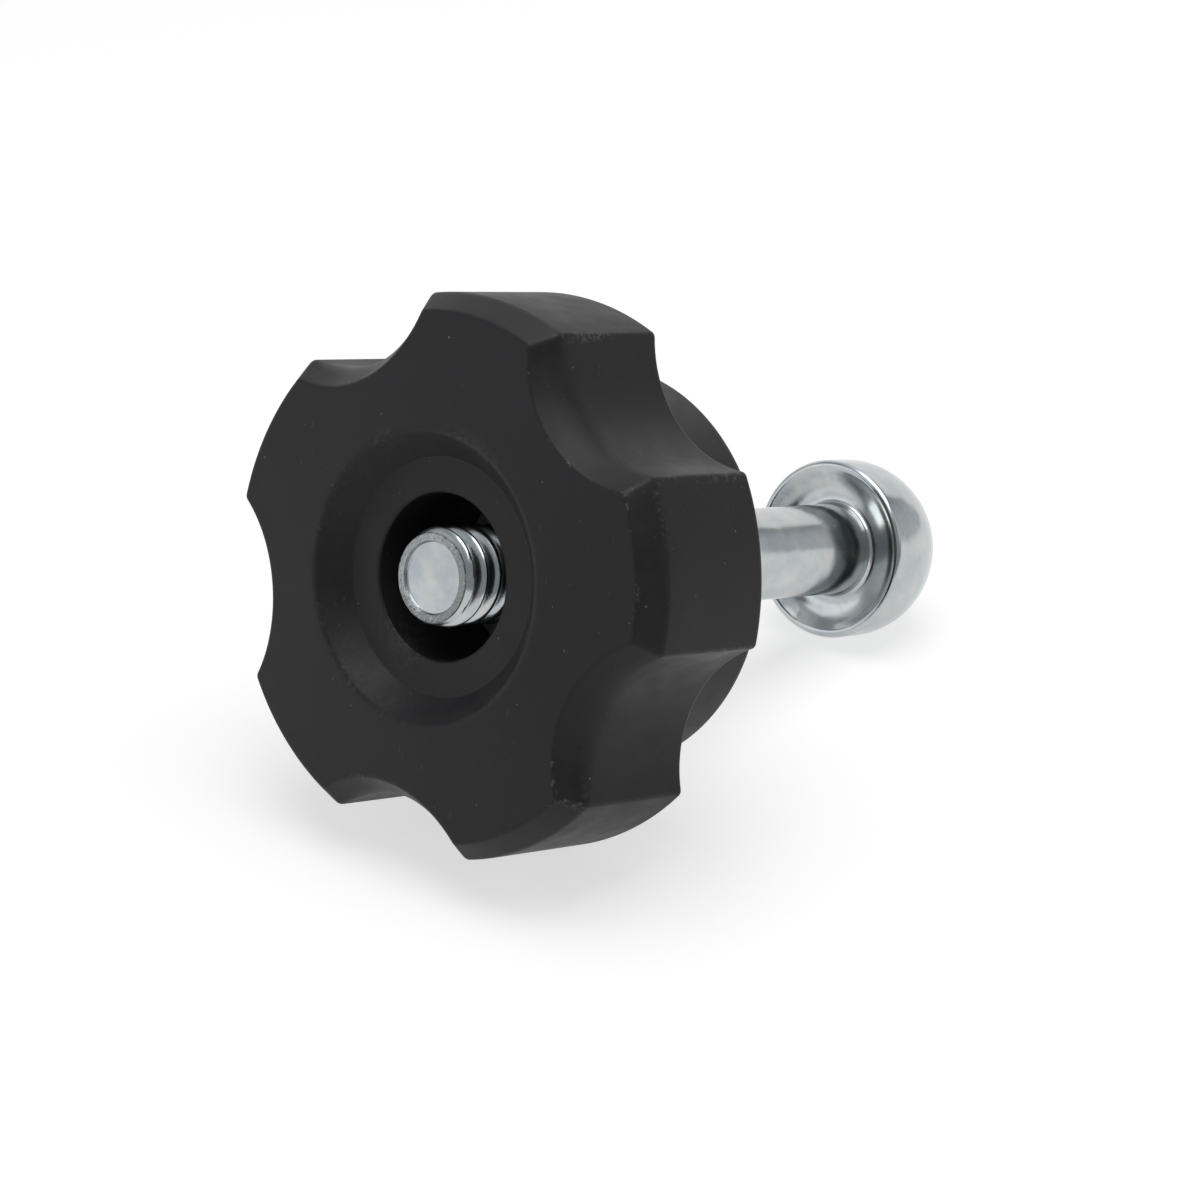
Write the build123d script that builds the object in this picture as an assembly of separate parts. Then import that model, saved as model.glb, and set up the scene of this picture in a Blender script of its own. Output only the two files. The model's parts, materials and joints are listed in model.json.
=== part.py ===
from build123d import *

# Knob bolt: a five-lobe clamping knob on a round-headed bolt, lying at rest.
# Every piece is drawn on its own axis, local +Z running from the bolt's head to the knob's front, with
# local Z = 0 at the rim of the dish in that front. One placement then lays the whole part down on two
# of the knob's lobes and the round back of the bolt's head. Lengths are in millimetres.

import os
from math import asin, atan2, cos, degrees, hypot, sin

# Knob: lobes and grip
LOBES = 5
KNOB_R = 17.5            # over the lobes
SCALLOP_R = 8.1          # finger hollow between two lobes
WAIST_R = 14.5           # from the axis to the bottom of a hollow
BODY_T = 11.5            # dish rim to the back of the lobes
LOBE_CORNER_R = 0.4      # where a lobe turns into a hollow
BACK_EDGE_R = 0.3        # rounding of the lobes' back edge
BEVEL_IN = 1.1           # front bevel, measured towards the axis
BEVEL_DEPTH = 2.4        # from the dish rim to the back of the bevel, along the axis
FRONT_DROP = 0.7         # fall of the coned front from the dish rim to the bevel

# Knob: dish, well and hub
DISH_R = 9.1             # rim of the dish in the front
DISH_FLOOR_R = 7.4
DISH_DEPTH = 1.75
DISH_EDGE_R = 0.6
BORE_R = 5.2             # well around the bolt's end
SHOULDER_Z = -10.6       # bottom of the well, where the insert's flange sits
HUB_R = 12.85
HUB_L = 6.3              # hub behind the lobes, down to the clamping face
HUB_EDGE_R = 0.8

# Threaded insert in the hub
INSERT_R = 4.6
INSERT_FLANGE_R = 5.1
INSERT_FLANGE_T = 0.9
INSERT_LEAD_IN = 0.5     # countersink at both ends of its thread

# Bolt: quarter-inch coarse thread on a plain shank
THREAD_R = 3.15
THREAD_L = 25.4
TIP_Z = -0.8             # end of the bolt, a little inside the dish
TIP_FLAT_R = 2.05
TIP_RING_R = 2.85        # outer edge of the rolled bevel on the end
TIP_RING_DEPTH = 0.3
TIP_CHAMFER = 0.45
RUN_OUT = 1.0            # cone from the thread down to the shank
SHANK_R = 3.1
GRIP_Z = -41.0           # underside of the head
NECK_FILLET_R = 0.45

# Bolt: head
HEAD_R = 6.1             # also the radius of its round back
HEAD_FRONT_R = 0.8       # rounding between underside and side
HEAD_SIDE_L = 2.2        # underside to the start of the round back

# Fits
SCREW_GAP = 0.05         # bolt in the insert, on the radius
INSERT_GAP = 0.03        # insert in the hub, on the radius
SEAT_GAP = 0.03          # flange above its shoulder
FLUSH_GAP = 0.2          # insert's end kept inside the clamping face

PAST = 1.0               # how far one shape runs into or past another where they are joined or cut

HUB_END_Z = -BODY_T - HUB_L
BACK_CENTRE_Z = GRIP_Z - HEAD_SIDE_L


def ring_profile(points):
    """Half section in the local XZ plane, from (radius, height) pairs."""
    return make_face(Plane.XZ * Polyline(*points, close=True))


def lobed_face(inset):
    """Outline over the lobes, moved in by inset, with a hollow facing local -X."""
    face = Circle(KNOB_R - inset)
    for place in PolarLocations(WAIST_R + SCALLOP_R, LOBES, start_angle=180):
        face -= place * Circle(SCALLOP_R + inset)
    return fillet(face.vertices(), LOBE_CORNER_R)


def edges_at(solid, height):
    """Edges that lie flat at a height."""
    def level(edge):
        box = edge.bounding_box()
        return max(abs(box.min.Z - height), abs(box.max.Z - height)) < 0.01
    return solid.edges().filter_by(level)


def circles_of(solid, radius):
    return solid.edges().filter_by(GeomType.CIRCLE).filter_by(lambda edge: abs(edge.radius - radius) < 0.01)


def make_knob():
    grip = Pos(0, 0, -BODY_T) * extrude(lobed_face(0), BODY_T - BEVEL_DEPTH)
    inset_at_rim = BEVEL_IN * BEVEL_DEPTH / (BEVEL_DEPTH - FRONT_DROP)
    front = loft([Pos(0, 0, -BEVEL_DEPTH) * lobed_face(0), lobed_face(inset_at_rim)], ruled=True)
    body = grip + front
    body = fillet(edges_at(body, -BODY_T), BACK_EDGE_R)

    hub = Pos(0, 0, HUB_END_Z) * Cylinder(HUB_R, HUB_L + PAST, align=(Align.CENTER, Align.CENTER, Align.MIN))
    body += fillet(edges_at(hub, HUB_END_Z), HUB_EDGE_R)

    beyond_r = KNOB_R + PAST
    cone_slope = FRONT_DROP / (KNOB_R - BEVEL_IN - DISH_R)
    seat_r = INSERT_R + INSERT_GAP
    body -= revolve(ring_profile([
        (0, PAST), (beyond_r, PAST), (beyond_r, cone_slope * (DISH_R - beyond_r)), (DISH_R, 0),
        (DISH_FLOOR_R, -DISH_DEPTH), (BORE_R, -DISH_DEPTH), (BORE_R, SHOULDER_Z), (seat_r, SHOULDER_Z),
        (seat_r, HUB_END_Z - PAST), (0, HUB_END_Z - PAST),
    ]), Axis.Z)
    return fillet(circles_of(body, DISH_R), DISH_EDGE_R)


def make_threaded_insert():
    bore_r = THREAD_R + SCREW_GAP
    flange_z = SHOULDER_Z + SEAT_GAP
    top_z = flange_z + INSERT_FLANGE_T
    end_z = HUB_END_Z + FLUSH_GAP
    return revolve(ring_profile([
        (bore_r + INSERT_LEAD_IN, top_z), (INSERT_FLANGE_R, top_z), (INSERT_FLANGE_R, flange_z),
        (INSERT_R, flange_z), (INSERT_R, end_z), (bore_r + INSERT_LEAD_IN, end_z),
        (bore_r, end_z + INSERT_LEAD_IN), (bore_r, top_z - INSERT_LEAD_IN),
    ]), Axis.Z)


def make_bolt():
    back_z = BACK_CENTRE_Z - HEAD_R
    thread_end_z = TIP_Z - THREAD_L
    crest_z = TIP_Z - TIP_RING_DEPTH - TIP_CHAMFER
    outline = Polyline(
        (0, back_z), (0, TIP_Z), (TIP_FLAT_R, TIP_Z), (TIP_RING_R, TIP_Z - TIP_RING_DEPTH), (THREAD_R, crest_z),
        (THREAD_R, thread_end_z), (SHANK_R, thread_end_z - RUN_OUT), (SHANK_R, GRIP_Z), (HEAD_R, GRIP_Z),
        (HEAD_R, BACK_CENTRE_Z),
    )
    round_back = RadiusArc((HEAD_R, BACK_CENTRE_Z), (0, back_z), HEAD_R)
    section = make_face(Curve() + outline + round_back)

    def corner(radius, height):
        return section.vertices().sort_by_distance((radius, height, 0))[0]

    section = fillet(corner(SHANK_R, GRIP_Z), NECK_FILLET_R)
    section = fillet(corner(HEAD_R, GRIP_Z), HEAD_FRONT_R)
    return revolve(Plane.XZ * section, Axis.Z)


def resting_place():
    """Tilt and height at which two lobe corners and the round back of the head touch the surface."""
    hollow_centre = WAIST_R + SCALLOP_R
    corner_centre_r = KNOB_R - LOBE_CORNER_R
    reach = corner_centre_r**2 + hollow_centre**2 - (SCALLOP_R + LOBE_CORNER_R)**2
    lobe_low = reach / (2 * hollow_centre) + LOBE_CORNER_R - BACK_EDGE_R
    lobe_back = BODY_T - BACK_EDGE_R
    run = -BACK_CENTRE_Z - lobe_back
    tilt = atan2(lobe_low, run) - asin((HEAD_R - BACK_EDGE_R) / hypot(run, lobe_low))
    height = HEAD_R - BACK_CENTRE_Z * sin(tilt)
    return tilt, height


tilt, height = resting_place()
lying = Plane(origin=(0, 0, height), x_dir=(-sin(tilt), 0, cos(tilt)), z_dir=(cos(tilt), 0, sin(tilt)))
pieces = {"knob": make_knob(), "threaded_insert": make_threaded_insert(), "bolt": make_bolt()}
placed = {name: lying.location * piece for name, piece in pieces.items()}

boxes = [piece.bounding_box() for piece in placed.values()]
middle_x = (min(box.min.X for box in boxes) + max(box.max.X for box in boxes)) / 2
front_point = (-middle_x, 0, height)

os.makedirs("parts", exist_ok=True)
for name, piece in placed.items():
    export_step(Pos(-middle_x, 0, 0) * piece, f"parts/{name}.step")
print(f"axis tilted {degrees(tilt):.4f} degrees, dish rim on the axis at {front_point}")
for name, piece in placed.items():
    print(name, f"volume {piece.volume:.1f}, lowest point {piece.bounding_box().min.Z:.4f}")
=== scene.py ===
import json
from math import acos, atan2, ceil, cos, hypot, pi, radians, sin, tan

import bmesh
import bpy
from mathutils import Matrix, Quaternion, Vector


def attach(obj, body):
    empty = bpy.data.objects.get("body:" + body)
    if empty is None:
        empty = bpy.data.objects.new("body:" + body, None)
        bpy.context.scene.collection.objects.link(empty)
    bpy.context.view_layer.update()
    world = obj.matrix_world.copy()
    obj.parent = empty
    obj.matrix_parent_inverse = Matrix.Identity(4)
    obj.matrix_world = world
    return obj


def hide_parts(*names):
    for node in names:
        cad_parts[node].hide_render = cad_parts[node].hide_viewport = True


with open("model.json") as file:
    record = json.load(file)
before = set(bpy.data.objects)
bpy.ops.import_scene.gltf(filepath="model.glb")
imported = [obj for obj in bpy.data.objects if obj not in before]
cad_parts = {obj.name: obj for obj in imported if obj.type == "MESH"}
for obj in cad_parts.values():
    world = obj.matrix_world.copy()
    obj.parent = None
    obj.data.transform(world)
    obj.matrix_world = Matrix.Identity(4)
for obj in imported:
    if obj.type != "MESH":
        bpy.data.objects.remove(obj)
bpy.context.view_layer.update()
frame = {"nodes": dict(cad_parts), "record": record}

# Sizes in millimetres on the bolt's own axis: Z = 0 at the rim of the dish, Z falling towards the head.
LOBES = 5
KNOB_R = 17.5
SCALLOP_R = 8.1          # radius of the hollow between two lobes
WAIST_R = 14.5           # from the axis to the bottom of a hollow
BODY_T = 11.5
LOBE_CORNER_R = 0.4
BACK_EDGE_R = 0.3
BEVEL_IN = 1.1
BEVEL_DEPTH = 2.4
FRONT_DROP = 0.7         # fall of the coned front from the dish to the bevel
DISH_R = 9.1
DISH_FLOOR_R = 7.4
DISH_DEPTH = 1.75
BORE_R = 5.2
SHOULDER_Z = -10.6
SEAT_R = 4.63
HUB_R = 12.85
HUB_END_Z = -17.8

THREAD_R = 3.15
THREAD_ROOT_R = 2.45
THREAD_PITCH = 1.27
THREAD_L = 25.4
TIP_Z = -0.8
TIP_R = 2.8              # outer edge of the end
TIP_FLAT_R = 2.2
TIP_LIP_R = 2.32         # crest of the raised lip that rolling leaves round the end
TIP_CUP = 0.28           # how far the middle lies inside the lip
TIP_LEAD_L = 0.15        # from the lip to the start of the wound sleeve
SHANK_R = 3.1
GRIP_Z = -41.0
HEAD_R = 6.1
HEAD_SIDE_L = 2.2
HEAD_DISH = 1.0          # how far the underside is sunk inside its rim

# Roundings and clearances that only the visible skins have
DISH_RIM_SOFT = 0.6
DISH_FLOOR_SOFT = 0.25
BORE_MOUTH_SOFT = 0.22
FRONT_EDGE_SOFT = 0.16
BEVEL_FOOT_SOFT = 0.22   # turn from the bevel to the side, on a lobe
HOLLOW_SOFT = 0.85       # how much longer that turn is at the bottom of a hollow
HUB_ROOT_SOFT = 0.25
HUB_END_SOFT = 0.8
TIP_FLAT_SOFT = 0.05
TIP_LIP_SOFT = 0.06
TIP_EDGE = 0.03          # chamfer of the end's outer edge
TIP_EDGE_SOFT = 0.12
CORE_R = 2.32            # body of the bolt under the thread's sleeve
SLEEVE_R = 2.3           # inside of the sleeve, sunk a little into that body
RUN_OUT_L = 1.2          # length over which the thread's grooves grow shallow
SHANK_STEP_L = 0.3       # slope from the body up to the shank, under the sleeve
SHANK_TAPER = 0.05
SHANK_TAPER_L = 1.0
NECK_SOFT = 0.45
HEAD_RIM_W = 0.35        # rounded rim between the head's side and its underside
HEAD_BOWL_W = 1.5        # from the head's side to where the sunk underside levels off
HEAD_BOWL_SOFT = 2.2
CLEAR = 0.02             # how far a crest or rim stays inside the solid that it stands for

MM = 0.001
CONE_SLOPE = FRONT_DROP / (KNOB_R - BEVEL_IN - DISH_R)

# The bolt's axis as packed: the knob's hinge sits on the axis at the clamping face.
hinge = next(joint for joint in frame["record"]["behaviour"]["joints"] if joint["name"] == "knob_turn")
along = Vector(hinge["axis"]).normalized()
up = Vector((-along.z, 0, along.x))
sideways = along.cross(up)
start = Vector(hinge["pos_m"]) - along * HUB_END_Z * MM
PLACE = Matrix.Translation(start) @ Matrix((up, sideways, along)).transposed().to_4x4() @ Matrix.Scale(MM, 4)


# Outlines and profiles

def rounded(corners, step=radians(8)):
    """Profile points through (radius, height, rounding) corners, each rounding drawn as a tangent arc."""
    points = []
    for number, (radius, height, rounding) in enumerate(corners):
        here = Vector((radius, height))
        if not rounding:
            points.append(here)
            continue
        back = (Vector(corners[number - 1][:2]) - here).normalized()
        ahead = (Vector(corners[(number + 1) % len(corners)][:2]) - here).normalized()
        half = back.angle(ahead) / 2
        centre = here + (back + ahead).normalized() * rounding / sin(half)
        first = here + back * rounding / tan(half) - centre
        last = here + ahead * rounding / tan(half) - centre
        sweep = (atan2(last.y, last.x) - atan2(first.y, first.x) + pi) % (2 * pi) - pi
        pieces = max(2, ceil(abs(sweep) / step))
        for part in range(pieces + 1):
            turned = first.copy()
            turned.rotate(Matrix.Rotation(sweep * part / pieces, 2))
            points.append(centre + turned)
    return points


def bend(first, corner, last, share):
    """Point on a soft corner between two points."""
    return first.lerp(corner, share).lerp(corner.lerp(last, share), share)


def nearness(point, radius, height, reach):
    """1 at a corner of a profile, falling to 0 at the reach from it."""
    return max(0.0, 1 - hypot(point.x - radius, point.y - height) / reach)


def polar(radius, angle):
    """Flat place at a radius and an angle."""
    return radius * cos(angle), radius * sin(angle)


def arc(centre, radius, first, last, count):
    """Evenly spaced points on an arc, from its first angle up to, but not including, its last."""
    points = []
    for number in range(count):
        x, y = polar(radius, first + (last - first) * number / count)
        points.append((centre[0] + x, centre[1] + y))
    return points


LOBE_STEPS, CORNER_STEPS, HOLLOW_STEPS = 22, 5, 26     # outline points on a lobe, a corner and a hollow


def lobed_outline(inset):
    """Points round the lobes, moved in by inset. Number and order are the same for every inset."""
    lobe_r = KNOB_R - inset
    hollow_r = SCALLOP_R + inset
    hollow_at = WAIST_R + SCALLOP_R
    corner_at = lobe_r - LOBE_CORNER_R
    beside = acos((corner_at**2 + hollow_at**2 - (hollow_r + LOBE_CORNER_R)**2) / (2 * corner_at * hollow_at))
    half_lobe = pi / LOBES - beside
    half_hollow = atan2(corner_at * sin(beside), hollow_at - corner_at * cos(beside))
    corner_turn = half_hollow + beside
    points = []
    for lobe in range(LOBES):
        middle = 2 * pi * lobe / LOBES
        hollow = middle + pi / LOBES
        before, after = middle + half_lobe, hollow + beside
        points += arc((0, 0), lobe_r, middle - half_lobe, before, LOBE_STEPS)
        points += arc(polar(corner_at, before), LOBE_CORNER_R, before, before + corner_turn, CORNER_STEPS)
        points += arc(polar(hollow_at, hollow), -hollow_r, hollow + half_hollow, hollow - half_hollow,
                      HOLLOW_STEPS)
        points += arc(polar(corner_at, after), LOBE_CORNER_R, after - corner_turn, after, CORNER_STEPS)
    return points


def corner_share():
    """1 on the corners between lobes and hollows, 0 elsewhere, for each outline point."""
    lobe, corner, hollow = [0.0] * LOBE_STEPS, [1.0] * CORNER_STEPS, [0.0] * HOLLOW_STEPS
    return (lobe + corner + hollow + corner) * LOBES


def hollow_share():
    """How far each outline point lies into a hollow: 0 on a lobe, 1 at the bottom of a hollow."""
    reach = [hypot(*point) for point in lobed_outline(0)]
    low, high = min(reach), max(reach)
    return [(high - value) / (high - low) for value in reach]


# Knob

def on_cone(point):
    """The place on the knob's coned front that lies over a flat point."""
    return Vector((point.x, point.y, CONE_SLOPE * (DISH_R - point.length)))


class KnobSkin:
    """Rings of points round the knob's closed skin, in order along its profile, and each point's pale edge
    mark, partly rubbed wear and partly painted edge highlight.
    """

    def __init__(self):
        self.side = [Vector(point) for point in lobed_outline(0)]
        inset_at_rim = BEVEL_IN * BEVEL_DEPTH / (BEVEL_DEPTH - FRONT_DROP)
        self.bevel_top = [Vector(point) for point in lobed_outline(inset_at_rim)]
        self.angles = [atan2(point.y, point.x) for point in self.side]
        self.corner_shares = corner_share()
        self.hollow_shares = hollow_share()
        self.rings, self.worn_and_highlit = [], []
        rim_r = self.add_well_and_dish()
        self.add_front(rim_r)
        self.add_bevel_and_side()
        self.add_back_and_hub()

    def add(self, ring, edge=0.0, corner=0.0, lobe=0.0):
        """Adds a ring, its pale edge mark (rubbed wear and painted edge highlight) set by edge all round, by
        corner on the lobes' corners and by lobe on the lobes.
        """
        self.rings.append(ring)
        for on_corner, hollow in zip(self.corner_shares, self.hollow_shares):
            self.worn_and_highlit.append(max(edge, corner * on_corner, lobe * (1 - hollow)**3))

    def circle(self, radius, height):
        """Round ring, with a point at the angle of each point of the lobed outline."""
        return [Vector((*polar(radius, angle), height)) for angle in self.angles]

    def on_bevel(self, number, height):
        """Place on the bevel's slope, which is carried on up to the level of the dish's rim."""
        flat = self.side[number].lerp(self.bevel_top[number], (height + BEVEL_DEPTH) / BEVEL_DEPTH)
        return Vector((flat.x, flat.y, height))

    def bevel_foot(self, share):
        """Ring on the soft turn from the bevel to the side, longer in the hollows."""
        ring = []
        for number, hollow in enumerate(self.hollow_shares):
            reach = BEVEL_FOOT_SOFT + HOLLOW_SOFT * hollow
            edge = self.side[number].to_3d() - Vector((0, 0, BEVEL_DEPTH))
            above = self.on_bevel(number, -BEVEL_DEPTH + reach)
            below = edge - Vector((0, 0, reach))
            ring.append(bend(above, edge, below, share))
        return ring

    def add_well_and_dish(self):
        """From the hub's end up through the well and over the dish. Gives the radius at which it ends."""
        cone_r = DISH_R + 3      # any place further out on the cone, at which the rim's rounding aims
        profile = rounded([
            (SEAT_R, HUB_END_Z, 0), (SEAT_R, SHOULDER_Z, 0), (BORE_R, SHOULDER_Z, 0),
            (BORE_R, -DISH_DEPTH, BORE_MOUTH_SOFT), (DISH_FLOOR_R, -DISH_DEPTH, DISH_FLOOR_SOFT),
            (DISH_R, 0, DISH_RIM_SOFT), (cone_r, CONE_SLOPE * (DISH_R - cone_r), 0),
        ])[:-1]
        for point in profile:
            near_rim = nearness(point, DISH_R, 0, reach=0.45)
            near_mouth = nearness(point, BORE_R, -DISH_DEPTH, reach=0.3)
            self.add(self.circle(point.x, point.y), max(0.4 * near_rim, 0.7 * near_mouth))
        return profile[-1].x

    def add_front(self, rim_r):
        """The coned front and its soft edge, which follows the line where the cone meets the bevel."""
        insides, corners, outsides = [], [], []
        for number in range(len(self.side)):
            height = -FRONT_DROP
            for _ in range(6):   # settles on the height at which the bevel meets the cone
                height = on_cone(self.on_bevel(number, height).xy).z
            corner = self.on_bevel(number, height)
            inward = (self.bevel_top[number] - self.side[number]).normalized()
            corners.append(corner)
            insides.append(on_cone(corner.xy + inward * FRONT_EDGE_SOFT))
            outsides.append(self.on_bevel(number, height - FRONT_EDGE_SOFT))
        for share in (0.1, 0.35, 0.6, 0.85, 0.97):
            ring = []
            for angle, inside in zip(self.angles, insides):
                at_rim = Vector(polar(rim_r, angle))
                ring.append(on_cone(at_rim.lerp(inside.xy, share)))
            self.add(ring)
        for share, edge in ((0, 0.3), (0.25, 0.8), (0.5, 1.0), (0.75, 0.8), (1, 0.3)):
            self.add([bend(*three, share) for three in zip(insides, corners, outsides)], edge)

    def add_bevel_and_side(self):
        """The bevel, its soft foot and the straight side."""
        above, below = self.rings[-1], self.bevel_foot(0)
        for share in (0.08, 0.54, 0.926):
            self.add([high.lerp(low, share) for high, low in zip(above, below)], corner=0.8)
        for share, edge in ((0, 0.1), (0.2, 0.3), (0.4, 0.5), (0.6, 0.5), (0.8, 0.3), (1, 0.1)):
            self.add(self.bevel_foot(share), corner=0.8, lobe=edge)
        for height in (-4.0, -7.0, -10.0, -BODY_T + BACK_EDGE_R + 0.1):
            self.add([Vector((point.x, point.y, height)) for point in self.side], corner=0.6)

    def add_back_and_hub(self):
        """The side's rounded back edge, the plain back and the hub."""
        steps = 5
        for step in range(steps + 1):
            turn = pi / 2 * step / steps
            height = -BODY_T + BACK_EDGE_R * (1 - sin(turn))
            outline = lobed_outline(BACK_EDGE_R * (1 - cos(turn)))
            # the back edge's rounding is marked pale: rubbed wear together with a painted edge highlight
            self.add([Vector((x, y, height)) for x, y in outline], 0.85 if 0 < step < steps else 0.2)
        beside_hub = HUB_R + HUB_ROOT_SOFT + 0.05
        outer, inner = self.rings[-1], self.circle(beside_hub, -BODY_T)
        for share in (0.08, 0.5):
            self.add([far.lerp(near, share) for far, near in zip(outer, inner)])
        profile = rounded([
            (HUB_R + 1, -BODY_T, 0), (HUB_R, -BODY_T, HUB_ROOT_SOFT), (HUB_R, HUB_END_Z, HUB_END_SOFT),
            (SEAT_R, HUB_END_Z, 0),
        ])[1:-1]
        for point in profile:
            self.add(self.circle(point.x, point.y), nearness(point, HUB_R, HUB_END_Z, reach=0.7))


# Bolt

TURNED_STEPS = 144       # points round each ring of the bolt's body


def bolt_rings():
    """Rings of the bolt's body, from the middle of its end to the middle of the head's back."""
    sleeve_start_z = TIP_Z - TIP_LEAD_L
    thread_end_z = TIP_Z - THREAD_L
    neck_z = GRIP_Z - HEAD_DISH
    back_z = GRIP_Z - HEAD_SIDE_L - HEAD_R
    end = [
        (0, TIP_Z - TIP_CUP, 0), (TIP_FLAT_R, TIP_Z - TIP_CUP, TIP_FLAT_SOFT),
        (TIP_LIP_R, TIP_Z, TIP_LIP_SOFT), (TIP_R - TIP_EDGE, TIP_Z - TIP_EDGE, TIP_EDGE_SOFT),
        (TIP_R - CLEAR / 2, sleeve_start_z, 0),
    ]
    under_thread = [(CORE_R, sleeve_start_z, 0), (CORE_R, thread_end_z + SHANK_STEP_L, 0)]
    shank = [
        (SHANK_R - SHANK_TAPER, thread_end_z, 0), (SHANK_R, thread_end_z - SHANK_TAPER_L, 0),
        (SHANK_R, neck_z, NECK_SOFT),
    ]
    head = [
        (HEAD_R - HEAD_BOWL_W, neck_z, HEAD_BOWL_SOFT), (HEAD_R - HEAD_RIM_W, GRIP_Z - CLEAR, HEAD_RIM_W),
        (HEAD_R, GRIP_Z - HEAD_RIM_W, HEAD_RIM_W), (HEAD_R, back_z, HEAD_R), (0, back_z, 0),
    ]
    rings = []
    for point in rounded(end + under_thread + shank + head):
        rings.append([Vector((*polar(point.x, 2 * pi * step / TURNED_STEPS), point.y))
                      for step in range(TURNED_STEPS)])
    return rings


def lip_share(rings):
    """1 on the raised lip round the bolt's end, 0 elsewhere, for each point of the rings."""
    return [1.0 if point.z > TIP_Z - TIP_LEAD_L and point.xy.length > TIP_FLAT_R - 0.1 else 0.0
            for ring in rings for point in ring]


# Finished pieces

def piece_of_rings(name, rings, worn_and_highlit):
    """A closed piece from rings that follow each other round its profile."""
    count = len(rings[0])
    faces = []
    for number in range(len(rings)):
        here, after = number * count, (number + 1) % len(rings) * count
        for step in range(count):
            beside = (step + 1) % count
            faces.append((here + step, here + beside, after + beside, after + step))
    mesh = bpy.data.meshes.new(name)
    mesh.from_pydata([point for ring in rings for point in ring], [], faces)
    mesh.attributes.new("worn_edge_and_highlight", "FLOAT", "POINT").data.foreach_set("value", worn_and_highlit)
    return finished_piece(name, mesh)


def finished_piece(name, mesh):
    """Joins doubled points, turns faces outwards, keeps the places on the axis and lays the piece down."""
    work = bmesh.new()
    work.from_mesh(mesh)
    bmesh.ops.remove_doubles(work, verts=work.verts, dist=1e-4)
    bmesh.ops.dissolve_degenerate(work, edges=work.edges, dist=1e-5)
    if work.calc_volume(signed=True) < 0:
        bmesh.ops.reverse_faces(work, faces=work.faces)
    work.to_mesh(mesh)
    work.free()
    places = [value for vertex in mesh.vertices for value in vertex.co]
    mesh.attributes.new("own_place", "FLOAT_VECTOR", "POINT").data.foreach_set("vector", places)
    mesh.transform(PLACE)
    mesh.shade_smooth()
    mesh.set_sharp_from_angle(angle=radians(30))
    return placed(name, mesh)


def placed(name, data):
    """A new object in the scene."""
    thing = bpy.data.objects.new(name, data)
    bpy.context.scene.collection.objects.link(thing)
    return thing


# Nodes

def fill(tree, node, inputs):
    """Links a node's inputs to sockets, or sets their own values."""
    for key, value in inputs.items():
        if isinstance(value, bpy.types.NodeSocket):
            tree.links.new(value, node.inputs[key])
        else:
            node.inputs[key].default_value = value


def node_in(tree, kind, inputs=(), **settings):
    """A new node with its settings and its inputs."""
    node = tree.nodes.new(kind)
    for key, value in settings.items():
        setattr(node, key, value)
    fill(tree, node, dict(inputs))
    return node


def maths(tree, operation, *values):
    """Result of a sum on values or sockets."""
    return node_in(tree, "ShaderNodeMath", dict(enumerate(values)), operation=operation).outputs[0]


def varied(tree, value, spread, middle):
    """The middle, moved by a value times the spread."""
    return maths(tree, "MULTIPLY_ADD", value, spread, middle)


def ranged(tree, value, low, high, smooth=True):
    """0 below low, 1 above high."""
    return node_in(tree, "ShaderNodeMapRange", {"Value": value, "From Min": low, "From Max": high},
                   interpolation_type="SMOOTHSTEP" if smooth else "LINEAR").outputs[0]


def between(tree, share, first, second):
    """Value between two values."""
    return node_in(tree, "ShaderNodeMix", {0: share, 2: first, 3: second}).outputs[0]


def mixed(tree, share, first, second):
    """Colour between two colours."""
    return node_in(tree, "ShaderNodeMix", {0: share, 6: first, 7: second}, data_type="RGBA").outputs[2]


# Thread, by geometry nodes

THREAD_SIZES = {
    "Major radius": THREAD_R - CLEAR,
    "Root radius": THREAD_ROOT_R,
    "Pitch": THREAD_PITCH,
    "First turn": 0.56,                      # how far round, in turns, a crest meets the start
    "Start": TIP_Z - TIP_LEAD_L,
    "Length": THREAD_L - TIP_LEAD_L,
    "End radius": TIP_R,
    "Lead length": 0.35,
    "Core radius": SLEEVE_R,
}
ROWS_A_TURN = 18
ROUND_STEPS = 72
GROOVE_UP_TO, CREST_FROM = 0.14, 0.94        # shares of the way from a groove's middle to a crest's middle


def thread_radius(tree, given, around, depth):
    """Radius of the sleeve at a share of a turn and at a depth, with its lead at the end and its run-out."""
    major, pitch = given["Major radius"], given["Pitch"]
    wound = maths(tree, "SUBTRACT", maths(tree, "DIVIDE", depth, pitch), around)
    phase = maths(tree, "FRACT", maths(tree, "ADD", wound, given["First turn"]))
    rise = maths(tree, "MULTIPLY", maths(tree, "ABSOLUTE", maths(tree, "SUBTRACT", phase, 0.5)), 2.0)
    cut = between(tree, ranged(tree, rise, GROOVE_UP_TO, CREST_FROM), given["Root radius"], major)
    lead = node_in(tree, "ShaderNodeMapRange", {
        "Value": depth, "From Min": 0.0, "From Max": given["Lead length"],
        "To Min": given["End radius"], "To Max": major}).outputs[0]
    before_end = ranged(tree, maths(tree, "SUBTRACT", given["Length"], depth), 0.0, RUN_OUT_L)
    return between(tree, before_end, major, maths(tree, "MINIMUM", lead, cut))


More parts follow.
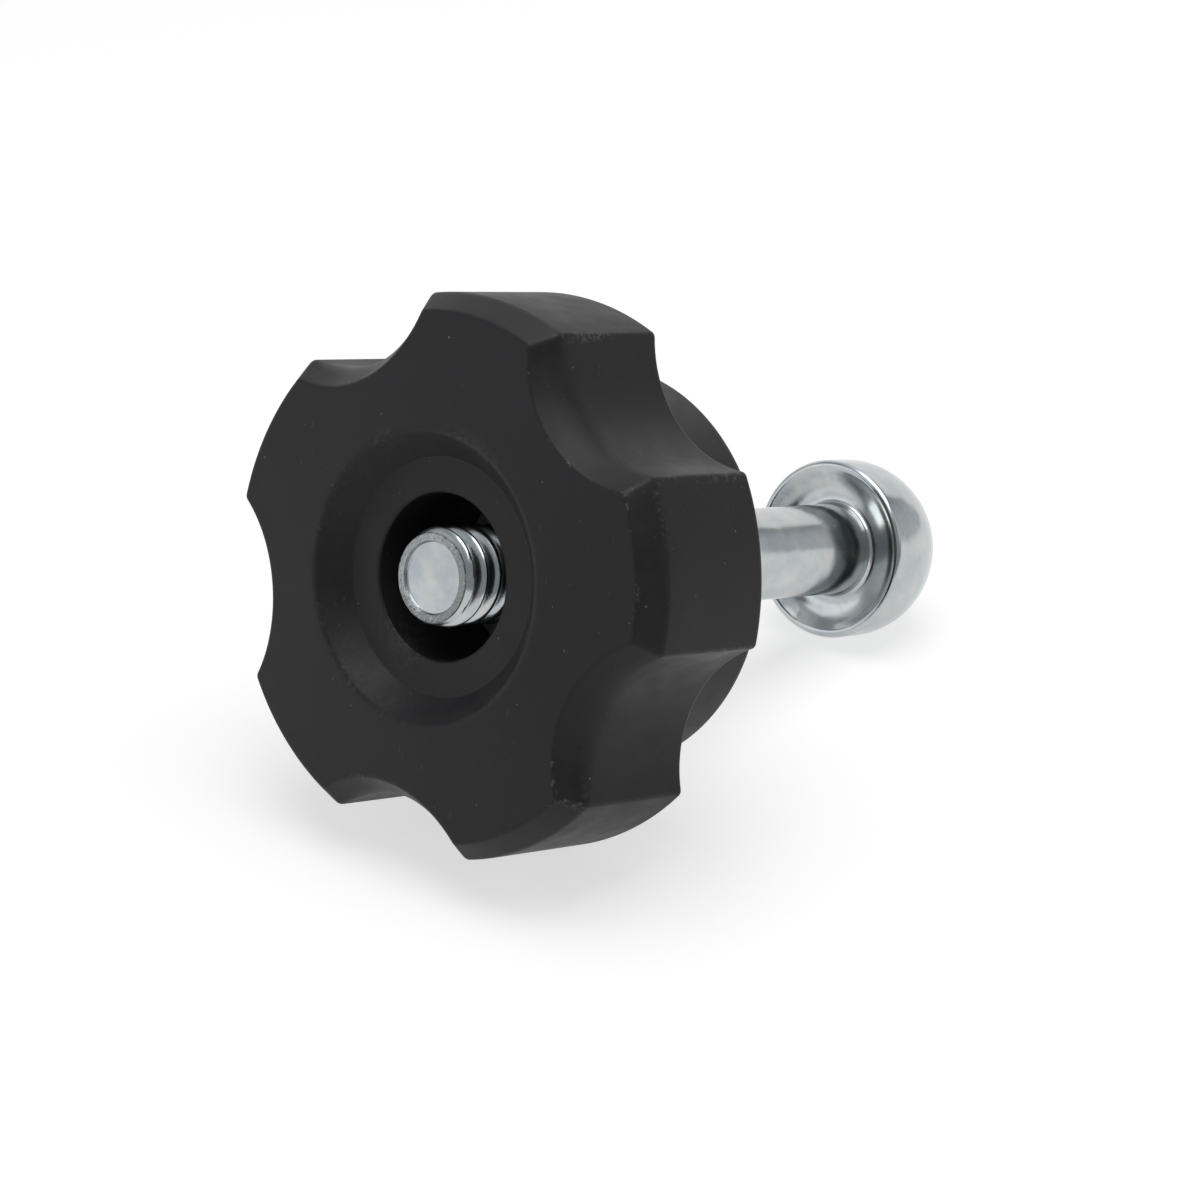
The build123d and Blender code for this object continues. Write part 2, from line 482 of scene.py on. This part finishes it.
def thread_tree():
    """Right-hand thread as a closed sleeve: a grid wound along the helix, pulled in between the crests.

    The grid's first row and its last two lie at the core's radius, and its very last row goes back to the
    start, so that the sleeve closes on its inside.
    """
    tree = bpy.data.node_groups.new("right_hand_thread", "GeometryNodeTree")
    face = tree.interface
    face.new_socket("Geometry", in_out="INPUT", socket_type="NodeSocketGeometry")
    for label in THREAD_SIZES:
        face.new_socket(label, in_out="INPUT", socket_type="NodeSocketFloat")
    face.new_socket("Finish", in_out="INPUT", socket_type="NodeSocketMaterial")
    face.new_socket("Geometry", in_out="OUTPUT", socket_type="NodeSocketGeometry")
    given = tree.nodes.new("NodeGroupInput").outputs
    pitch, length = given["Pitch"], given["Length"]

    # One turn more at each end, held to the thread's length, makes the slanted rows end square.
    turns = maths(tree, "ADD", maths(tree, "CEIL", maths(tree, "DIVIDE", length, pitch)), 2.0)
    rows = maths(tree, "MULTIPLY", turns, ROWS_A_TURN)
    grid = node_in(tree, "GeometryNodeMeshGrid", {
        "Size X": 1.0, "Size Y": 1.0,
        "Vertices X": ROUND_STEPS + 1, "Vertices Y": maths(tree, "ADD", rows, 4.0)})
    flat = node_in(tree, "GeometryNodeInputPosition")
    place = node_in(tree, "ShaderNodeSeparateXYZ", {0: flat.outputs[0]}).outputs
    around = maths(tree, "ADD", place[0], 0.5)
    row_share = maths(tree, "ADD", place[1], 0.5)
    row = maths(tree, "ROUND", maths(tree, "MULTIPLY", row_share, maths(tree, "ADD", rows, 3.0)))
    turn = maths(tree, "DIVIDE", maths(tree, "SUBTRACT", row, 1.0), ROWS_A_TURN)
    wound = maths(tree, "SUBTRACT", maths(tree, "ADD", turn, around), 1.0)
    below_start = maths(tree, "MULTIPLY", wound, pitch)
    depth = maths(tree, "MAXIMUM", maths(tree, "MINIMUM", below_start, length), 0.0)

    first_row = maths(tree, "LESS_THAN", row, 0.5)
    last_rows = maths(tree, "GREATER_THAN", row, maths(tree, "ADD", rows, 1.5))
    very_last = maths(tree, "GREATER_THAN", row, maths(tree, "ADD", rows, 2.5))
    inside = maths(tree, "MAXIMUM", first_row, last_rows)
    radius = between(tree, inside, thread_radius(tree, given, around, depth), given["Core radius"])
    reached = maths(tree, "MULTIPLY", depth, maths(tree, "SUBTRACT", 1.0, very_last))
    angle = maths(tree, "MULTIPLY", around, 2 * pi)
    point = node_in(tree, "ShaderNodeCombineXYZ", {
        0: maths(tree, "MULTIPLY", radius, maths(tree, "COSINE", angle)),
        1: maths(tree, "MULTIPLY", radius, maths(tree, "SINE", angle)),
        2: maths(tree, "SUBTRACT", given["Start"], reached)})
    sleeve = node_in(tree, "GeometryNodeSetPosition", {
        "Geometry": grid.outputs[0], "Position": point.outputs[0]})
    joined = node_in(tree, "GeometryNodeMergeByDistance", {
        "Geometry": sleeve.outputs[0], "Distance": 0.001})
    real = node_in(tree, "GeometryNodeRealizeInstances", {0: joined.outputs[0]})
    dressed = node_in(tree, "GeometryNodeSetMaterial", {
        "Geometry": real.outputs[0], "Material": given["Finish"]})
    node_in(tree, "NodeGroupOutput", {0: dressed.outputs[0]})
    return tree


def wound_thread(name, finish):
    """Runs the thread tree on an empty mesh and keeps the result as a piece of its own."""
    blank = placed(name + "_blank", bpy.data.meshes.new(name + "_blank"))
    modifier = blank.modifiers.new("thread", "NODES")
    modifier.node_group = thread_tree()
    values = {**THREAD_SIZES, "Finish": finish}
    for item in modifier.node_group.interface.items_tree:
        if item.in_out == "INPUT" and item.name in values:
            modifier[item.identifier] = values[item.name]
    shown = blank.evaluated_get(bpy.context.evaluated_depsgraph_get())
    mesh = bpy.data.meshes.new_from_object(shown)
    blank.modifiers.remove(modifier)
    bpy.data.objects.remove(blank)
    return finished_piece(name, mesh)


# Shared surface effects

def effect(name, inputs, output):
    """A shader group with one value output and named inputs: a default value each, or None for a vector."""
    tree = bpy.data.node_groups.new(name, "ShaderNodeTree")
    for label, default in inputs.items():
        kind = "NodeSocketVector" if default is None else "NodeSocketFloat"
        socket = tree.interface.new_socket(label, in_out="INPUT", socket_type=kind)
        if default is not None:
            socket.default_value = default
    tree.interface.new_socket(output, in_out="OUTPUT", socket_type="NodeSocketFloat")
    return tree, tree.nodes.new("NodeGroupInput").outputs


def give_out(tree, value):
    """Ends a shader group with its value."""
    node_in(tree, "NodeGroupOutput", {0: value})
    return tree


def spots(tree, cells, share, spread, least):
    """Soft spots in the middle of a share of the cells, with radii from least to least + spread."""
    chance = node_in(tree, "ShaderNodeSeparateColor", {0: cells.outputs["Color"]}).outputs
    chosen = maths(tree, "LESS_THAN", chance[0], share)
    radius = varied(tree, chance[1], spread, least)
    spot = maths(tree, "SUBTRACT", 1.0, maths(tree, "DIVIDE", cells.outputs["Distance"], radius))
    return maths(tree, "MULTIPLY", maths(tree, "MAXIMUM", spot, 0.0), chosen)


def dust_effect():
    """Small specks of several sizes, thicker in some places than in others."""
    tree, given = effect("dust_specks", {"Place": None, "Scale": 1.0, "Amount": 0.5}, "Mask")
    share = maths(tree, "MULTIPLY", given["Amount"], 0.35)
    masks = []
    for size, shift in ((1.7, 0.0), (3.9, 31.0)):
        moved = node_in(tree, "ShaderNodeVectorMath", {0: given["Place"], 1: [shift] * 3}, operation="ADD")
        cells = node_in(tree, "ShaderNodeTexVoronoi", {
            "Vector": moved.outputs[0], "Scale": maths(tree, "MULTIPLY", given["Scale"], size)})
        masks.append(spots(tree, cells, share, spread=0.12, least=0.05))
    patch = node_in(tree, "ShaderNodeTexNoise", {"Vector": given["Place"], "Scale": 0.35, "Detail": 2.0})
    thick = ranged(tree, patch.outputs[0], 0.35, 0.65)
    shown = maths(tree, "MULTIPLY", maths(tree, "MAXIMUM", *masks), thick)
    return give_out(tree, maths(tree, "MINIMUM", shown, 1.0))


def scratch_effect():
    """Short fine scratches that run in a few directions: spots in cells drawn out along one axis."""
    tree, given = effect("fine_scratches", {"Place": None, "Amount": 0.5}, "Mask")
    share = maths(tree, "MULTIPLY", given["Amount"], 0.16)
    masks = []
    for turn, shift in ((0.4, 3.0), (1.9, 17.0), (2.7, 41.0)):
        drawn_out = node_in(tree, "ShaderNodeMapping", {
            "Vector": given["Place"], "Location": (shift, 0.0, shift),
            "Rotation": (turn * 0.6, turn, turn * 1.7), "Scale": (0.35, 3.2, 3.2)})
        cells = node_in(tree, "ShaderNodeTexVoronoi", {"Vector": drawn_out.outputs[0], "Scale": 0.8})
        masks.append(spots(tree, cells, share, spread=0.0, least=0.11))
    first_two = maths(tree, "MAXIMUM", masks[0], masks[1])
    return give_out(tree, maths(tree, "MAXIMUM", first_two, masks[2]))


def wear_and_highlight_effect():
    """Mask of broken patches along edges, more in some places than in others: on the knob it pales the edges
    as rubbed wear and as painted edge highlight, on the bolt it lays grime on the lip.
    """
    tree, given = effect("rubbed_and_highlit_edges", {"Edge": 0.0, "Place": None, "Amount": 0.5}, "Mask")
    broken = node_in(tree, "ShaderNodeTexNoise", {
        "Vector": given["Place"], "Scale": 2.6, "Detail": 6.0, "Roughness": 0.75})
    broad = node_in(tree, "ShaderNodeTexNoise", {"Vector": given["Place"], "Scale": 0.14, "Detail": 1.0})
    both = maths(tree, "ADD", broken.outputs[0], varied(tree, broad.outputs[0], 0.9, -0.45))
    low = maths(tree, "SUBTRACT", 0.72, maths(tree, "MULTIPLY", given["Amount"], 0.3))
    rubbed_and_highlit = ranged(tree, both, low, maths(tree, "ADD", low, 0.14), smooth=False)
    return give_out(tree, maths(tree, "MULTIPLY", rubbed_and_highlit, given["Edge"]))


def relief_effect():
    """Height in millimetres of a surface that is broadly uneven and finely grained."""
    tree, given = effect("uneven_relief", {"Place": None, "Broad": 0.1, "Fine": 0.005}, "Height")
    broad = node_in(tree, "ShaderNodeTexNoise", {"Vector": given["Place"], "Scale": 0.42, "Detail": 1.5})
    fine = node_in(tree, "ShaderNodeTexNoise", {
        "Vector": given["Place"], "Scale": 5.0, "Detail": 4.0, "Roughness": 0.65})
    return give_out(tree, maths(tree, "ADD", maths(tree, "MULTIPLY", broad.outputs[0], given["Broad"]),
                                maths(tree, "MULTIPLY", fine.outputs[0], given["Fine"])))


def mottle_effect():
    """Soft uneven value about 0 for colour and sheen."""
    tree, given = effect("soft_mottle", {"Place": None, "Scale": 1.0}, "Value")
    cloud = node_in(tree, "ShaderNodeTexNoise", {
        "Vector": given["Place"], "Scale": given["Scale"], "Detail": 4.0, "Roughness": 0.6})
    return give_out(tree, maths(tree, "SUBTRACT", cloud.outputs[0], 0.5))


DUST, SCRATCHES, WEAR_AND_HIGHLIGHT = dust_effect(), scratch_effect(), wear_and_highlight_effect()
RELIEF, MOTTLE = relief_effect(), mottle_effect()


# Finishes

def grey(value):
    """Neutral colour."""
    return value, value, value, 1


WHITE = grey(1)
BLACK_PLASTIC = (0.0091, 0.0087, 0.0102, 1), (0.0139, 0.0134, 0.0149, 1)     # its darker and paler areas
# pale grey of rubbed edges, which also paints edge highlights
PALE_WEAR_AND_HIGHLIGHT = grey(0.20)
SCRATCHED_PLASTIC = grey(0.16)
DUST_GREY = (0.42, 0.41, 0.40, 1)
BRIGHT_ZINC = (0.43, 0.47, 0.49, 1), (0.54, 0.55, 0.54, 1)                   # its bluer and warmer areas
PIT_GREY = (0.10, 0.10, 0.11, 1)
GRIME = (0.10, 0.10, 0.09, 1)
# steel colour kept dark as painted shade of the bore round the insert
INSERT_STEEL_IN_PAINTED_SHADE = (0.20, 0.20, 0.195, 1)


def new_material(name):
    """A material, its node tree and its surface shader."""
    material = bpy.data.materials.new(name)
    material.use_nodes = True
    tree = material.node_tree
    return material, tree, tree.nodes["Principled BSDF"]


def use(tree, group, **values):
    """Places a shared effect in a material and gives its value."""
    return node_in(tree, "ShaderNodeGroup", values, node_tree=group).outputs[0]


def stored(tree, name, output):
    """An attribute that the piece's mesh keeps."""
    return node_in(tree, "ShaderNodeAttribute", attribute_name=name).outputs[output]


def mottled(tree, mottle, colours):
    """Soft change between two colours."""
    return mixed(tree, ranged(tree, mottle, -0.2, 0.2), *colours)


def laid_over(tree, under, over, mask, strength):
    """Lays a colour over another one where a mask shows."""
    return mixed(tree, maths(tree, "MULTIPLY", mask, strength), under, over)


def raised(tree, height):
    """Normal of a surface with a height in millimetres."""
    return node_in(tree, "ShaderNodeBump", {"Strength": 1.0, "Distance": MM, "Height": height}).outputs[0]


def black_plastic():
    """Matt black moulded plastic with pale edges, partly rubbed wear and partly painted edge highlight,
    hairline scratches and dust.
    """
    material, tree, surface = new_material("black_plastic")
    place, edge = stored(tree, "own_place", "Vector"), stored(tree, "worn_edge_and_highlight", "Fac")
    mottle = use(tree, MOTTLE, Place=place, Scale=0.5)
    dust = use(tree, DUST, Place=place, Scale=1.0, Amount=0.4)
    scratches = use(tree, SCRATCHES, Place=place, Amount=0.4)
    # pale edge mark: rubbed wear together with painted edge highlight
    worn_and_highlit = use(tree, WEAR_AND_HIGHLIGHT, Edge=edge, Place=place, Amount=0.45)
    plain = mottled(tree, mottle, BLACK_PLASTIC)
    rubbed_and_highlit = laid_over(tree, plain, PALE_WEAR_AND_HIGHLIGHT, worn_and_highlit, 0.55)
    scratched = laid_over(tree, rubbed_and_highlit, SCRATCHED_PLASTIC, scratches, 0.4)
    relief = use(tree, RELIEF, Place=place, Broad=0.02, Fine=0.003)
    fill(tree, surface, {
        "Base Color": laid_over(tree, scratched, DUST_GREY, dust, 0.6),
        "Roughness": maths(tree, "ADD", varied(tree, mottle, 0.3, 0.5), maths(tree, "MULTIPLY", dust, 0.3)),
        "Specular IOR Level": 0.27,
        "Normal": raised(tree, relief),
    })
    return material


def zinc_plate():
    """Bright zinc plate over a forged and rolled surface, with dark pits, and grime and grain on the lip."""
    material, tree, surface = new_material("zinc_plate")
    place, lip = stored(tree, "own_place", "Vector"), stored(tree, "worn_edge_and_highlight", "Fac")
    mottle = use(tree, MOTTLE, Place=place, Scale=0.6)
    scratches = use(tree, SCRATCHES, Place=place, Amount=0.5)
    pits = use(tree, DUST, Place=place, Scale=1.6, Amount=0.5)
    grime = use(tree, WEAR_AND_HIGHLIGHT, Edge=lip, Place=place, Amount=0.9)
    pitted = laid_over(tree, mottled(tree, mottle, BRIGHT_ZINC), PIT_GREY, pits, 0.7)
    scratched = maths(tree, "MULTIPLY", scratches, 0.2)
    relief = use(tree, RELIEF, Place=place, Broad=0.06, Fine=varied(tree, lip, 0.16, 0.004))
    fill(tree, surface, {
        "Base Color": laid_over(tree, pitted, GRIME, grime, 0.5),
        "Metallic": 1.0,
        "Roughness": maths(tree, "ADD", varied(tree, mottle, 0.14, 0.18), scratched),
        "Normal": raised(tree, relief),
    })
    return material


def steel_in_painted_shade():
    """Turned steel, its colour darkened as painted shade of the bore round it, uneven in sheen."""
    material, tree, surface = new_material("insert_steel")
    place = node_in(tree, "ShaderNodeTexCoord").outputs["Object"]
    mottle = use(tree, MOTTLE, Place=place, Scale=400.0)
    fill(tree, surface, {
        "Base Color": INSERT_STEEL_IN_PAINTED_SHADE, "Metallic": 1.0, "Roughness": varied(tree, mottle, 0.2, 0.38)})
    return material


# Pieces

def make_knob():
    """The lobed knob, shown instead of its solid."""
    skin = KnobSkin()
    knob = piece_of_rings("lobed_knob", skin.rings, skin.worn_and_highlit)
    knob.data.materials.append(black_plastic())
    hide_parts("knob")
    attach(knob, "knob")


def make_bolt():
    """The bolt's body and its thread, shown instead of its solid."""
    zinc = zinc_plate()
    rings = bolt_rings()
    bolt = piece_of_rings("bolt_body", rings, lip_share(rings))
    bolt.data.materials.append(zinc)
    thread = wound_thread("bolt_thread", zinc)
    for piece in (bolt, thread):
        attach(piece, "bolt")
    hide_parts("bolt")
    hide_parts("bolt")


def finish_insert():
    """The insert is shown as its solid, in steel darkened as painted shade of the bore."""
    insert = frame["nodes"]["threaded_insert"]
    insert.data.materials.clear()
    insert.data.materials.append(steel_in_painted_shade())


# Studio

SKY_LIGHT = 0.2                 # strength of the white surroundings as light on the object
FLOOR_HALF = 2.0
FLOOR_GREY = grey(0.5)
FLOOR_GLOW = 0.65               # what the camera and shiny pieces see on top of the lit floor
TENT_R = 0.9
TENT_OPENS_AT = (221.6, 10)     # azimuth and elevation of the white backdrop behind the object
TENT_OPENING = radians(48)
TENT_GREY = 0.34
TENT_TINT = (0.97, 1.0, 1.03, 1)
TENT_PATCHES = [                # azimuth and elevation, angle of the full patch, angle at its end, brightness
    ((60, 90), radians(20), radians(45), 0.8),
    ((-35, 6), radians(26), radians(48), 0.88),
    ((155, 0), radians(12), radians(30), 0.62),
]
LAMPS = [                       # name, place, side in metres, power in watts
    ("top_light", (0.0, 0.05, 0.6), 0.5, 2.2),
    ("side_light", (-0.25, 0.45, 0.3), 0.4, 0.2),
    ("front_light", (0.45, -0.3, 0.25), 0.4, 0.2),
]
LAMPS_AIM = (0, 0, 0.015)
CAMERA_AT = (0.185217, 0.164305, 0.131073)
CAMERA_AIM = (0.019595, 0.012833, 0.020961)
CAMERA_ROLL = radians(-1.393)
CAMERA_LENS = 126.28            # millimetres, on a sensor 36 wide


def aimed(place, aim):
    """Turn that points a lamp or the camera from its place at its aim."""
    return (Vector(aim) - Vector(place)).to_track_quat("-Z", "Y")


def sees_white(tree):
    """1 for camera, glossy and transmission rays."""
    path = tree.nodes.new("ShaderNodeLightPath").outputs
    shiny = maths(tree, "MAXIMUM", path["Is Glossy Ray"], path["Is Transmission Ray"])
    return maths(tree, "MAXIMUM", path["Is Camera Ray"], shiny)


def make_world():
    """White surroundings: full white to look at, and less as light."""
    world = bpy.data.worlds.new("studio")
    bpy.context.scene.world = world
    world.use_nodes = True
    tree = world.node_tree
    strength = varied(tree, sees_white(tree), 1 - SKY_LIGHT, SKY_LIGHT)
    fill(tree, tree.nodes["Background"], {"Color": WHITE, "Strength": strength})


def make_floor():
    """White floor that keeps the shadow: its own light fills in what the camera and shiny pieces see."""
    mesh = bpy.data.meshes.new("floor")
    corners = [(x * FLOOR_HALF, y * FLOOR_HALF, 0) for x, y in ((-1, -1), (1, -1), (1, 1), (-1, 1))]
    mesh.from_pydata(corners, [], [(0, 1, 2, 3)])
    floor = placed("floor", mesh)
    material, tree, surface = new_material("floor_white")
    fill(tree, surface, {
        "Base Color": FLOOR_GREY, "Roughness": 0.9, "Specular IOR Level": 0.1, "Emission Color": WHITE,
        "Emission Strength": maths(tree, "MULTIPLY", sees_white(tree), FLOOR_GLOW),
    })
    mesh.materials.append(material)


def direction(azimuth, elevation):
    """Unit vector towards a place round the object, from angles in degrees."""
    return Vector((*polar(cos(radians(elevation)), radians(azimuth)), sin(radians(elevation))))


def tent_glow():
    """Even grey with paler areas, as light that the tent's wall gives."""
    material, tree, surface = new_material("grey_tent")
    tree.nodes.remove(surface)
    place = node_in(tree, "ShaderNodeTexCoord").outputs["Object"]
    shade = TENT_GREY
    for (azimuth, elevation), inner, outer, brightness in TENT_PATCHES:
        near = node_in(tree, "ShaderNodeVectorMath", {
            0: place, 1: direction(azimuth, elevation) / TENT_R}, operation="DOT_PRODUCT").outputs["Value"]
        shade = between(tree, ranged(tree, near, cos(outer), cos(inner)), shade, brightness)
    glow = node_in(tree, "ShaderNodeEmission", {"Color": TENT_TINT, "Strength": shade})
    fill(tree, tree.nodes["Material Output"], {"Surface": glow.outputs[0]})
    return material


def make_grey_tent():
    """Tent wall over the floor, open towards the backdrop, that only shiny pieces see."""
    work = bmesh.new()
    bmesh.ops.create_uvsphere(work, u_segments=72, v_segments=64, radius=TENT_R)
    open_part = [face for face in work.faces
                 if face.calc_center_median().normalized().dot(direction(*TENT_OPENS_AT)) > cos(TENT_OPENING)
                 or face.calc_center_median().z < 0]
    bmesh.ops.delete(work, geom=open_part, context="FACES")
    mesh = bpy.data.meshes.new("grey_tent")
    work.to_mesh(mesh)
    work.free()
    mesh.materials.append(tent_glow())
    tent = placed("grey_tent", mesh)
    tent.visible_camera = False
    tent.visible_diffuse = False
    tent.visible_shadow = False


def make_lamp(name, place, side, power):
    """Square lamp that points at the object."""
    data = bpy.data.lights.new(name, "AREA")
    data.shape = "RECTANGLE"
    data.size = data.size_y = side
    data.energy = power
    lamp = placed(name, data)
    lamp.location = place
    lamp.rotation_euler = aimed(place, LAMPS_AIM).to_euler()


def make_camera():
    """The photograph's view."""
    data = bpy.data.cameras.new("camera")
    data.sensor_width = 36.0
    data.lens = CAMERA_LENS
    data.clip_start = 0.01
    camera = placed("camera", data)
    camera.location = CAMERA_AT
    roll = Quaternion((0, 0, 1), CAMERA_ROLL)
    camera.rotation_euler = (aimed(CAMERA_AT, CAMERA_AIM) @ roll).to_euler()
    bpy.context.scene.camera = camera


make_knob()
make_bolt()
finish_insert()
make_world()
make_floor()
make_camera()
make_grey_tent()
for lamp in LAMPS:
    make_lamp(*lamp)

bpy.context.scene.view_settings.view_transform = "Standard"
